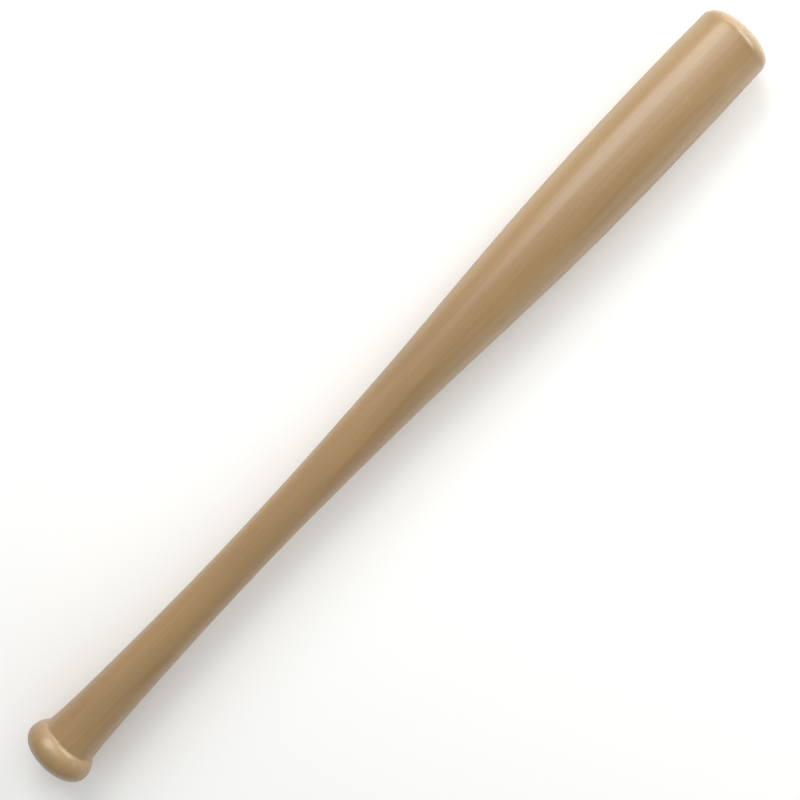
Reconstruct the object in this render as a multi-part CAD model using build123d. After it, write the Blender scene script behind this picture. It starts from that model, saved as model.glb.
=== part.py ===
from build123d import *
import math
import os

# A plain baseball bat, lying along +X. The origin is the centre of the knob's flat end,
# +X runs to the barrel end and +Z is up. All lengths are in millimetres.
# The bat is one turned billet of hardwood under a clear lacquer film, so it has two
# pieces: nothing on it is glued on, pressed in or screwed together.

# --- driving dimensions, all over the lacquer ---
LENGTH = 711.2           # a 28 inch bat
BARREL_DIA = 57.15       # a 2 1/4 inch barrel
HANDLE_DIA = 30.0        # where the handle is thinnest
KNOB_DIA = 53.2          # the knob at its widest
KNOB_WIDEST = 10.5       # from the knob's flat end to its widest turn
KNOB_LENGTH = 22.2       # from the knob's flat end to the crease
KNOB_FLAT_DIA = 28.0     # the flat on the knob's end, left by the parting cut
CREASE_DIA = 42.0        # where the knob's round front drops onto the flared handle
CREASE_FILLET = 2.0      # the nose radius of the gouge that cuts the crease
END_ROUND = 12.0         # length of the domed barrel end
END_ROUND_DIA = 55.8     # barrel diameter where that dome starts
END_FLAT_DIA = 15.0      # the sanded spot in the middle of the dome
LACQUER = 0.15           # film thickness of several dipped coats

# Turning stations between the crease and the dome: distance from the knob's end, diameter.
# The handle flares into the knob, is thinnest at 205 mm, and the barrel is widest at 625 mm.
STATIONS = [
    (64.0, 36.3),
    (120.0, 32.5),
    (205.0, HANDLE_DIA),
    (265.0, 31.2),
    (325.0, 34.7),
    (390.0, 40.0),
    (455.0, 47.6),
    (520.0, 53.9),
    (575.0, 56.7),
    (625.0, BARREL_DIA),
    (672.0, 56.5),
]
FLARE_SLOPE = -0.13      # radius lost per mm of handle just past the crease
NEAR_CREASE = 0.01       # how close to the crease its edge is looked for


def facing_out(slope):
    """The unit normal, away from the axis, of a surface that gains `slope` mm of radius
    per mm along the bat."""
    return Vector(-slope, 1).normalized()


def turned(inset):
    """The solid inside the finished surface by `inset` mm, revolved about the X axis."""
    first = inset                      # the knob's flat end
    last = LENGTH - inset              # the barrel's flat spot
    # The knob's front is an arc, level at the knob's top, so it drops onto the handle at
    # twice the slant of its chord. The crease moves in along both surfaces' normals.
    chord_slant = math.atan2(KNOB_DIA - CREASE_DIA, 2 * (KNOB_LENGTH - KNOB_WIDEST))
    knob_side = facing_out(-math.tan(2 * chord_slant))
    handle_side = facing_out(FLARE_SLOPE)
    mitre = (knob_side + handle_side) / (1 + knob_side.dot(handle_side))
    crease = Vector(KNOB_LENGTH, CREASE_DIA / 2) - mitre * inset
    knob_top = (KNOB_WIDEST, KNOB_DIA / 2 - inset)
    knob_flat = (first, KNOB_FLAT_DIA / 2)
    dome_start = (LENGTH - END_ROUND, END_ROUND_DIA / 2 - inset)
    dome_flat = (last, END_FLAT_DIA / 2)

    with BuildPart() as body:
        with BuildSketch(Plane.XZ):
            with BuildLine():
                Line((first, 0), knob_flat)
                # back of the knob: a quarter of an ellipse from the flat up to the widest turn
                EllipticalCenterArc(
                    (knob_top[0], knob_flat[1]),
                    knob_top[0] - first,
                    knob_top[1] - knob_flat[1],
                    start_angle=90,
                    arc_size=90,
                )
                # front of the knob: an arc, level at the widest turn, down to the crease
                TangentArc(knob_top, crease, tangent=(1, 0))
                # handle, taper and barrel: one smooth curve through the turning stations
                Spline(
                    crease,
                    *[(x, dia / 2 - inset) for x, dia in STATIONS],
                    dome_start,
                    tangents=[(1, FLARE_SLOPE), (1, 0)],
                )
                # domed barrel end: a quarter of an ellipse onto the flat spot
                EllipticalCenterArc(
                    (dome_start[0], dome_flat[1]),
                    last - dome_start[0],
                    dome_start[1] - dome_flat[1],
                    start_angle=0,
                    arc_size=90,
                )
                Line(dome_flat, (last, 0))
                Line((last, 0), (first, 0))
            make_face()
        revolve(axis=Axis.X)
        crease_edge = body.edges().filter_by_position(
            Axis.X, crease.X - NEAR_CREASE, crease.X + NEAR_CREASE
        )
        fillet(crease_edge, CREASE_FILLET + inset)
    return body.part


wood = turned(LACQUER)
film = turned(0) - wood

os.makedirs("parts", exist_ok=True)
export_step(wood, "parts/turned_wood_body.step")
export_step(film, "parts/clear_lacquer_film.step")
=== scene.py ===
import math

import bpy
import numpy as np
from mathutils import Matrix, Vector


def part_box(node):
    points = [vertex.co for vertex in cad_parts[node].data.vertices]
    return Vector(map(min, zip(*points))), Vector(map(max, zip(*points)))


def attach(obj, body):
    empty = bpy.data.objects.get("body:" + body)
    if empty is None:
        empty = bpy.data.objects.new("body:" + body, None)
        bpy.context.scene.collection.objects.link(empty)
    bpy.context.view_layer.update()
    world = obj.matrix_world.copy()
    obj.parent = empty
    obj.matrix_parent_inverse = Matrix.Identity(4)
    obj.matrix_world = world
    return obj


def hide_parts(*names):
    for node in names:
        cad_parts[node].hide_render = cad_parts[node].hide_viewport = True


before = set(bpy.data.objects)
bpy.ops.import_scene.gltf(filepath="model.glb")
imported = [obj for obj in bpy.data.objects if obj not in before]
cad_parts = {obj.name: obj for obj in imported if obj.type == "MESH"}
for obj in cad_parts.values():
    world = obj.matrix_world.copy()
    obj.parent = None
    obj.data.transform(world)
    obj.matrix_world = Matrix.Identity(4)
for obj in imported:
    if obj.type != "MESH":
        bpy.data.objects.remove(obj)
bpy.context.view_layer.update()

# ---------------------------------------------------------------------------
# The turned wood body. One split billet of pale hardwood, spun on a lathe and cut with a
# gouge, then sanded along its length. Knob, handle, taper, barrel and dome are one piece,
# so the grain runs through all of them and shows its end on the knob and on the dome.
# ---------------------------------------------------------------------------
MM = 0.001
WOOD_AROUND = 160         # facets around the bat: under 0.01 mm from round on the barrel
WOOD_STEP = 3.0 * MM      # spacing of the rings along the handle and the barrel
WOOD_TIGHT_STEP = 0.35 * MM   # and round the knob, in the crease and over the dome
KNOB_STRETCH = 32.0 * MM  # the knob and its crease lie within this much of the low end
DOME_STRETCH = 20.0 * MM  # and the dome within this much of the high end
SANDING_WAVE = 0.035 * MM  # how far hand sanding leaves the turned surface from true
FULL_WAVE_RADIUS = 20 * MM  # nearer the axis than this the waves fade, to nothing at a pole


def profile_of(node):
    """Rows of (distance along X, radius) of a turned CAD node, from the axis at its low
    end to the axis at its high end: its vertices, put in order along X and then outwards
    on the low end's flat and inwards on the high end's."""
    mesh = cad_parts[node].data
    place = np.empty(len(mesh.vertices) * 3)
    mesh.vertices.foreach_get("co", place)
    along, side, up = place.reshape(-1, 3).T
    radius = np.hypot(side, up)
    low_half = along < (along.min() + along.max()) / 2
    order = np.lexsort((np.where(low_half, radius, -radius), along.round(6)))
    rows = np.c_[along, radius][order]
    return np.vstack([(rows[0, 0], 0.0), rows, (rows[-1, 0], 0.0)])


def even_rings(rows, tight_step, step):
    """The same profile resampled at even steps along its own length, with tight steps
    near both ends, so that the crease and the dome stay round. Radius and distance are
    both read as functions of the length run along the outline."""
    run = np.r_[0.0, np.cumsum(np.hypot(*np.diff(rows, axis=0).T))]
    low = np.interp(KNOB_STRETCH, rows[:, 0], run)
    high = np.interp(rows[-1, 0] - DOME_STRETCH, rows[:, 0], run)
    stops = np.r_[
        np.linspace(0.0, low, int(low / tight_step)),
        np.linspace(low, high, int((high - low) / step))[1:],
        np.linspace(high, run[-1], int((run[-1] - high) / tight_step))[1:],
    ]
    return np.c_[np.interp(stops, run, rows[:, 0]), np.interp(stops, run, rows[:, 1])]


def sanded(along, turn):
    """How far the surface stands from true, in metres, at a distance along the bat and an
    angle round it: long shallow swells, the sum of three slow sines, as a belt leaves.
    Their heights are 1, 0.7 and 0.5, so the sum is divided by 2.2."""
    swell = (
        np.sin(along / (31 * MM) + 2 * np.sin(turn + 0.7))
        + 0.7 * np.sin(along / (13 * MM) + 3 * turn + 1.9)
        + 0.5 * np.sin(along / (71 * MM) - 2 * turn)
    )
    return SANDING_WAVE * swell / 2.2


def revolved(rows, around):
    """Points, quads and triangles of a profile spun about X: each row becomes a ring of
    points at (along, radius cos, radius sin), and the first and last rows, on the axis,
    one point each. Faces wind so that they point away from the axis."""
    turn = np.linspace(0, 2 * math.pi, around, endpoint=False)
    rings = rows[1:-1]
    along = np.repeat(rings[:, :1], around, axis=1)
    wave = sanded(along, turn) * np.minimum(rings[:, 1:] / FULL_WAVE_RADIUS, 1) ** 2
    radius = rings[:, 1:] + wave
    points = np.stack([along, radius * np.cos(turn), radius * np.sin(turn)], axis=-1)
    place = np.vstack([points.reshape(-1, 3), (rows[0, 0], 0, 0), (rows[-1, 0], 0, 0)])
    spot = np.arange(around)
    after = (spot + 1) % around
    ring = np.arange(len(rings) - 1)[:, None] * around
    quads = np.stack([ring + spot, ring + after, ring + after + around, ring + spot + around], -1)
    last = (len(rings) - 1) * around
    low_pole = np.full(around, len(place) - 2)
    high_pole = np.full(around, len(place) - 1)
    low_fan = np.stack([low_pole, after, spot], -1)
    high_fan = np.stack([high_pole, last + spot, last + after], -1)
    return place, quads.reshape(-1, 4), np.vstack([low_fan, high_fan])


def end_grain_of(rows, around):
    """For every point of revolved(rows), how squarely its surface cuts the fibres: 0 on
    the flanks, where they lie along it, and 1 on the ends, which face along X."""
    slope = np.gradient(rows, axis=0)
    square = np.abs(slope[:, 1]) / np.hypot(*slope.T)
    return np.r_[np.repeat(square[1:-1], around), 1.0, 1.0]


def new_piece(name, place, quads, triangles):
    """A smooth-shaded mesh object at the origin, linked into the scene."""
    mesh = bpy.data.meshes.new(name)
    mesh.from_pydata(place.tolist(), [], quads.tolist() + triangles.tolist())
    mesh.polygons.foreach_set("use_smooth", np.ones(len(mesh.polygons), bool))
    mesh.update()
    piece = bpy.data.objects.new(name, mesh)
    bpy.context.collection.objects.link(piece)
    return piece


def linear(hex_colour):
    """An sRGB hex colour as linear red, green, blue and alpha 1."""
    share = np.array([int(hex_colour[i : i + 2], 16) for i in (1, 3, 5)]) / 255
    curve = np.where(share <= 0.04045, share / 12.92, ((share + 0.055) / 1.055) ** 2.4)
    return (*curve, 1.0)


def per(mm):
    """A texture scale that repeats once in so many millimetres."""
    return 1 / (mm * MM)


def add(tree, kind, inputs, **settings):
    """One node of a material: settings are its own fields, and inputs its open sockets by
    name or by number, each linked if it is given a node, whose first open output it takes,
    or a socket, and set if it is given a value."""
    made = tree.nodes.new(kind)
    for field, value in settings.items():
        setattr(made, field, value)
    sockets = [socket for socket in made.inputs if socket.enabled]
    by_name = {socket.name: socket for socket in sockets}
    for key, value in inputs.items():
        socket = sockets[key] if isinstance(key, int) else by_name[key]
        if isinstance(value, bpy.types.Node):
            value = next(output for output in value.outputs if output.enabled)
        if isinstance(value, bpy.types.NodeSocket):
            tree.links.new(value, socket)
        else:
            socket.default_value = value
    return made


def blank_material(name):
    """A new material with an empty tree of nodes, and that tree."""
    made = bpy.data.materials.new(name)
    made.use_nodes = True
    made.node_tree.nodes.clear()
    return made, made.node_tree


# Turned and sanded pale hardwood, wetted out by its finish: a pale straw colour, nearly
# plain, with faint growth rings. The log's heart lay well outside the billet and askew to
# it, so one flank shows long arches and the next straight lines that slowly converge.
HEART_AT = (0.0, 62 * MM, -48 * MM)   # the bat's axis from the log's heart
HEART_LEAN = (0.0, math.radians(1.6), math.radians(-1.1))   # the billet was split askew
RING_WIDTH = 3.4          # mm of growth in a year
SWAY = 10.0               # mm that the rings wander from true circles
SAP_PALE = "#9E7F50"      # early wood of a good year
SAP_TAN = "#96764A"       # and of a lean one, a little pinker
LATE_LINE = "#856234"     # the thin dense line that ends each year
PORE_DARK = "#6E522F"     # the bottom of a pore
END_GRAIN_AND_HIGHLIGHT = "#C9B592"     # a cream that the wood goes towards where it shows its end grain: partly the paler end grain, partly a painted highlight on the knob's front and the dome's rim
END_GRAIN_AND_HIGHLIGHT_SHARE = 0.45    # and how far it goes there; both were chosen
LATE_FROM = 0.35          # the share of a year's growth where the late wood starts
LATE_TO = 0.94            # and where it is darkest

wood, tree = blank_material("turned_sanded_hardwood")
where = add(tree, "ShaderNodeTexCoord", {}).outputs["Object"]
log = add(
    tree, "ShaderNodeMapping", {"Vector": where, "Location": HEART_AT, "Rotation": HEART_LEAN}
)

# growth rings: the distance from the heart, swayed, counted in years
across = add(tree, "ShaderNodeVectorMath", {0: log, 1: (0, 1, 1)}, operation="MULTIPLY")
from_heart = add(tree, "ShaderNodeVectorMath", {0: across}, operation="LENGTH")
bends = add(
    tree, "ShaderNodeMapping", {"Vector": log, "Scale": (per(260), per(60), per(60))}
)
sway = add(tree, "ShaderNodeTexNoise", {"Vector": bends, "Scale": 1.0, "Detail": 3.0})
drawn_years = add(
    tree, "ShaderNodeMath", {0: from_heart, 1: per(RING_WIDTH)}, operation="MULTIPLY"
)
years = add(
    tree,
    "ShaderNodeMath",
    {0: sway, 1: SWAY / RING_WIDTH, 2: drawn_years},
    operation="MULTIPLY_ADD",
)
season = add(tree, "ShaderNodeMath", {0: years}, operation="FRACT")
year = add(tree, "ShaderNodeMath", {0: years}, operation="FLOOR")
vigour = add(tree, "ShaderNodeTexWhiteNoise", {"W": year}, noise_dimensions="1D")

# late wood darkens slowly through the season and stops at once in its autumn
darkening = add(
    tree,
    "ShaderNodeMapRange",
    {"Value": season, "From Min": LATE_FROM, "From Max": LATE_TO},
    interpolation_type="SMOOTHSTEP",
)
autumn = add(
    tree,
    "ShaderNodeMapRange",
    {"Value": season, "From Min": 1.0, "From Max": LATE_TO},
    interpolation_type="SMOOTHSTEP",
)
late = add(tree, "ShaderNodeMath", {0: darkening, 1: autumn}, operation="MULTIPLY")
density = add(
    tree, "ShaderNodeMapRange", {"Value": vigour, "To Min": 0.05, "To Max": 0.30}
)
lateness = add(tree, "ShaderNodeMath", {0: late, 1: density}, operation="MULTIPLY")

# broad soft clouds of tan in the pale wood, as long as a hand and a thumb wide
cloud_at = add(
    tree, "ShaderNodeMapping", {"Vector": where, "Scale": (per(120), per(20), per(20))}
)
clouds = add(tree, "ShaderNodeTexNoise", {"Vector": cloud_at, "Scale": 1.0, "Detail": 3.0})
tan_share = add(
    tree, "ShaderNodeMapRange", {"Value": clouds, "From Min": 0.3, "From Max": 0.7}
)
early = add(
    tree,
    "ShaderNodeMix",
    {"Factor": tan_share, "A": linear(SAP_PALE), "B": linear(SAP_TAN)},
    data_type="RGBA",
)
ringed = add(
    tree,
    "ShaderNodeMix",
    {"Factor": lateness, "A": early, "B": linear(LATE_LINE)},
    data_type="RGBA",
)

# fibres are 0.02 mm wide; drawn as streaks 1.1 mm and 4 mm wide so that they show
fibre_at = add(
    tree, "ShaderNodeMapping", {"Vector": where, "Scale": (per(40), per(1.1), per(1.1))}
)
fibre = add(
    tree, "ShaderNodeTexNoise", {"Vector": fibre_at, "Scale": 1.0, "Detail": 3.0}
)
streak_at = add(
    tree, "ShaderNodeMapping", {"Vector": where, "Scale": (per(140), per(4), per(4))}
)
streak = add(
    tree, "ShaderNodeTexNoise", {"Vector": streak_at, "Scale": 1.0, "Detail": 2.0}
)
fibre_tone = add(
    tree, "ShaderNodeMapRange", {"Value": fibre, "To Min": 0.93, "To Max": 1.07}
)
streak_tone = add(
    tree, "ShaderNodeMapRange", {"Value": streak, "To Min": 0.9, "To Max": 1.1}
)
tone = add(tree, "ShaderNodeMath", {0: fibre_tone, 1: streak_tone}, operation="MULTIPLY")
toned = add(tree, "ShaderNodeVectorMath", {0: ringed, "Scale": tone}, operation="SCALE")

# pores are 0.1 mm wide and a few millimetres long; drawn 0.6 mm wide so that they show
pore_at = add(
    tree, "ShaderNodeMapping", {"Vector": where, "Scale": (per(7), per(0.6), per(0.6))}
)
pore_noise = add(
    tree, "ShaderNodeTexNoise", {"Vector": pore_at, "Scale": 1.0, "Detail": 1.0}
)
pore = add(
    tree,
    "ShaderNodeMapRange",
    {"Value": pore_noise, "From Min": 0.66, "From Max": 0.78, "To Max": 0.3},
)
pored = add(
    tree,
    "ShaderNodeMix",
    {"Factor": pore, "A": toned, "B": linear(PORE_DARK)},
    data_type="RGBA",
)

# end grain and painted highlight: paler by the square of how squarely the surface cuts the
# fibres; partly real paler end grain, partly a painted highlight standing in for the lacquer's
# pale rim on the knob and the dome
square_cut = add(tree, "ShaderNodeAttribute", {}, attribute_name="end_grain").outputs["Fac"]
end_face = add(tree, "ShaderNodeMath", {0: square_cut, 1: 2.0}, operation="POWER")
paler_end_and_highlight = add(tree, "ShaderNodeMath", {0: end_face, 1: END_GRAIN_AND_HIGHLIGHT_SHARE}, operation="MULTIPLY")
shown = add(
    tree,
    "ShaderNodeMix",
    {"Factor": paler_end_and_highlight, "A": pored, "B": linear(END_GRAIN_AND_HIGHLIGHT)},
    data_type="RGBA",
)
raised = add(
    tree, "ShaderNodeBump", {"Height": fibre, "Strength": 0.1, "Distance": 0.02 * MM}
)
surface = add(
    tree,
    "ShaderNodeBsdfPrincipled",
    {"Base Color": shown, "Roughness": 0.5, "Specular IOR Level": 0.45, "Normal": raised},
)
add(tree, "ShaderNodeOutputMaterial", {"Surface": surface})

turned_profile = profile_of("turned_wood_body")
wood_rows = even_rings(turned_profile, WOOD_TIGHT_STEP, WOOD_STEP)
body = new_piece("wood_body", *revolved(wood_rows, WOOD_AROUND))
grain = body.data.attributes.new("end_grain", "FLOAT", "POINT")
grain.data.foreach_set("value", end_grain_of(wood_rows, WOOD_AROUND).astype(np.float32))
body.data.materials.append(wood)
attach(body, "root")
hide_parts("turned_wood_body")

# ---------------------------------------------------------------------------
# The lacquer. The bare bat is dipped in clear gloss lacquer several times and hung up to
# dry, which leaves one closed film all over it. Its inner face has soaked a little way
# into the wood, so nothing mirrors there, and only its outer face shines.
# ---------------------------------------------------------------------------
FILM_AROUND = 112         # facets around: the film stays 0.1 mm clear of the wood's own
FILM_STEP = 3.5 * MM      # spacing of its rings on the handle and barrel
FILM_TIGHT_STEP = 0.6 * MM    # and over the knob and the dome
SOAK = 0.05 * MM          # how deep the film's inner face lies in the wood

film_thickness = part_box("turned_wood_body")[0].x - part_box("clear_lacquer_film")[0].x


def moved_out(rows, gap):
    """A profile moved by gap along its own normals, away from the axis for a positive
    gap: the normal is the outline's direction turned a quarter to the left."""
    along, radial = np.gradient(rows, axis=0).T
    length = np.hypot(along, radial)
    return np.c_[rows[:, 0] - gap * radial / length, np.abs(rows[:, 1] + gap * along / length)]


def shell(outer_rows, inner_rows, around):
    """A closed shell: one profile revolved as its outer wall, and one as its inner wall,
    whose faces are listed backwards so that they look at the wood."""
    outer, outer_quads, outer_fans = revolved(outer_rows, around)
    inner, inner_quads, inner_fans = revolved(inner_rows, around)
    quads = np.vstack([outer_quads, inner_quads[:, ::-1] + len(outer)])
    triangles = np.vstack([outer_fans, inner_fans[:, ::-1] + len(outer)])
    return np.vstack([outer, inner]), quads, triangles


# Clear gloss lacquer: it lets the wood through unchanged and mirrors as any resin does,
# about 4% head on and more at a slant, up to a limit. Dipped coats leave a faint orange
# peel, a few thousandths of a millimetre high, so its highlights have soft edges.
LACQUER_IOR = 1.5
PEEL_WIDTH = 3.0          # mm from one shallow dimple to the next
GRAZING_MOST = 0.12       # the limit on the flanks, low so that their edges stay wood-brown
END_GRAZING_MOST = 0.42   # the limit on the dome, higher so that it gets a pale rim
DOME_GLOSS_FROM = 696 * MM    # the limit starts to rise here along the bat
DOME_GLOSS_BY = 704 * MM      # and has risen in full here

lacquer, tree = blank_material("clear_gloss_lacquer")
where = add(tree, "ShaderNodeTexCoord", {}).outputs["Object"]
peel_at = add(
    tree,
    "ShaderNodeMapping",
    {"Vector": where, "Scale": (per(3 * PEEL_WIDTH), per(PEEL_WIDTH), per(PEEL_WIDTH))},
)
peel = add(tree, "ShaderNodeTexNoise", {"Vector": peel_at, "Scale": 1.0, "Detail": 1.0})
wavy = add(
    tree, "ShaderNodeBump", {"Height": peel, "Strength": 0.2, "Distance": 0.01 * MM}
)
clear = add(tree, "ShaderNodeBsdfTransparent", {"Color": (1.0, 1.0, 1.0, 1.0)})
shine = add(
    tree,
    "ShaderNodeBsdfAnisotropic",
    {"Color": (1.0, 1.0, 1.0, 1.0), "Roughness": 0.3, "Normal": wavy},
)
slant = add(tree, "ShaderNodeFresnel", {"IOR": LACQUER_IOR, "Normal": wavy})
far_along = add(tree, "ShaderNodeSeparateXYZ", {"Vector": where}).outputs["X"]
grazing_most = add(
    tree,
    "ShaderNodeMapRange",
    {
        "Value": far_along,
        "From Min": DOME_GLOSS_FROM,
        "From Max": DOME_GLOSS_BY,
        "To Min": GRAZING_MOST,
        "To Max": END_GRAZING_MOST,
    },
)
mirrored = add(tree, "ShaderNodeMath", {0: slant, 1: grazing_most}, operation="MINIMUM")
film_surface = add(tree, "ShaderNodeMixShader", {"Fac": mirrored, 1: clear, 2: shine})
add(tree, "ShaderNodeOutputMaterial", {"Surface": film_surface})

film_rows = even_rings(turned_profile, FILM_TIGHT_STEP, FILM_STEP)
film = new_piece(
    "lacquer_film",
    *shell(moved_out(film_rows, film_thickness), moved_out(film_rows, -SOAK), FILM_AROUND),
)
film.data.materials.append(lacquer)
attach(film, "root")
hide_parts("clear_lacquer_film")

# ---------------------------------------------------------------------------
# The floor: a pale matt board that the bat lies on, touching it at the barrel's widest
# turn and at the knob's. The knob is a little smaller, so the board is set that much askew.
# ---------------------------------------------------------------------------
FLOOR_HALF = 6.0          # metres from the middle of the board to its edges
in_knob = wood_rows[wood_rows[:, 0] < KNOB_STRETCH]
knob_turn = in_knob[in_knob[:, 1].argmax()]
barrel_turn = wood_rows[wood_rows[:, 1].argmax()]
drop = (barrel_turn[1] - knob_turn[1]) / (barrel_turn[0] - knob_turn[0])
floor_at_origin = -(knob_turn[1] + film_thickness + SANDING_WAVE) + drop * knob_turn[0]
corner_xy = FLOOR_HALF * np.array([(-1, -1), (1, -1), (1, 1), (-1, 1)])
corners = np.c_[corner_xy, floor_at_origin - drop * corner_xy[:, 0]]
board = new_piece("floor_board", corners, np.array([[0, 1, 2, 3]]), np.empty((0, 3), int))
matt_paint, tree = blank_material("matt_white_paint")
paint = add(
    tree,
    "ShaderNodeBsdfPrincipled",
    {"Base Color": linear("#F4F3F0"), "Roughness": 0.9, "Specular IOR Level": 0.1},
)
add(tree, "ShaderNodeOutputMaterial", {"Surface": paint})
board.data.materials.append(matt_paint)

# ---------------------------------------------------------------------------
# Studio light: a bright room, a large soft box above the bat's left, one over the barrel's
# end, a far one that lights the knob's front, and low strips for the dome and right flank.
# ---------------------------------------------------------------------------
room = bpy.data.worlds.new("bright_room")
bpy.context.scene.world = room
room.use_nodes = True
tree = room.node_tree
tree.nodes.clear()
glow = add(tree, "ShaderNodeBackground", {"Color": (0.97, 0.985, 1.0, 1.0), "Strength": 0.54})
add(tree, "ShaderNodeOutputWorld", {"Surface": glow})


def soft_box(name, at, aim, width, height, watts):
    """A rectangular area light at a point, turned so that it faces another point, that
    lights the bat but isn't seen itself."""
    lamp = bpy.data.lights.new(name, "AREA")
    lamp.shape = "RECTANGLE"
    lamp.size = width
    lamp.size_y = height
    lamp.energy = watts
    box = bpy.data.objects.new(name, lamp)
    box.location = at
    box.rotation_euler = (Vector(aim) - Vector(at)).to_track_quat("-Z", "Y").to_euler()
    box.visible_camera = False
    bpy.context.collection.objects.link(box)


soft_box("key_box", (0.95, 1.0, 1.0), (0.45, 0.0, 0.0), 1.1, 1.1, 17)
soft_box("top_box", (1.0, 0.0, 1.5), (0.7, 0.0, 0.0), 1.1, 0.8, 4)
soft_box("far_box", (1.8, -0.4, 0.55), (0.1, 0.0, 0.0), 1.2, 0.4, 12)
soft_box("low_strip", (0.7, -1.2, 0.3), (0.3, 0.0, 0.0), 1.2, 0.25, 1.2)
soft_box("end_strip", (1.4, 0.25, 0.1), (0.7, 0.0, 0.0), 0.7, 0.14, 1.5)

# ---------------------------------------------------------------------------
# The camera: above the lying bat, over the barrel's side of the middle, and rolled so
# that the bat crosses the picture from corner to corner, knob at the lower left.
# ---------------------------------------------------------------------------
EYE = Vector((0.487, -0.0037, 1.270))
AIM = Vector((0.364, -0.0037, 0.0))
BAT_SLANT = math.radians(46.48)   # the bat's angle to the picture's lower edge
LENS = 82.0                       # mm, on a 36 mm wide sensor

camera = bpy.data.objects.new("camera", bpy.data.cameras.new("camera"))
camera.data.lens = LENS
camera.data.sensor_width = 36.0
back = (EYE - AIM).normalized()
along_bat = (Vector((1, 0, 0)) - back * back.x).normalized()
across_bat = back.cross(along_bat)
right = along_bat * math.cos(BAT_SLANT) - across_bat * math.sin(BAT_SLANT)
up = back.cross(right)
camera.matrix_world = Matrix.Translation(EYE) @ Matrix((right, up, back)).transposed().to_4x4()
bpy.context.collection.objects.link(camera)
bpy.context.scene.camera = camera
bpy.context.scene.view_settings.view_transform = "Standard"
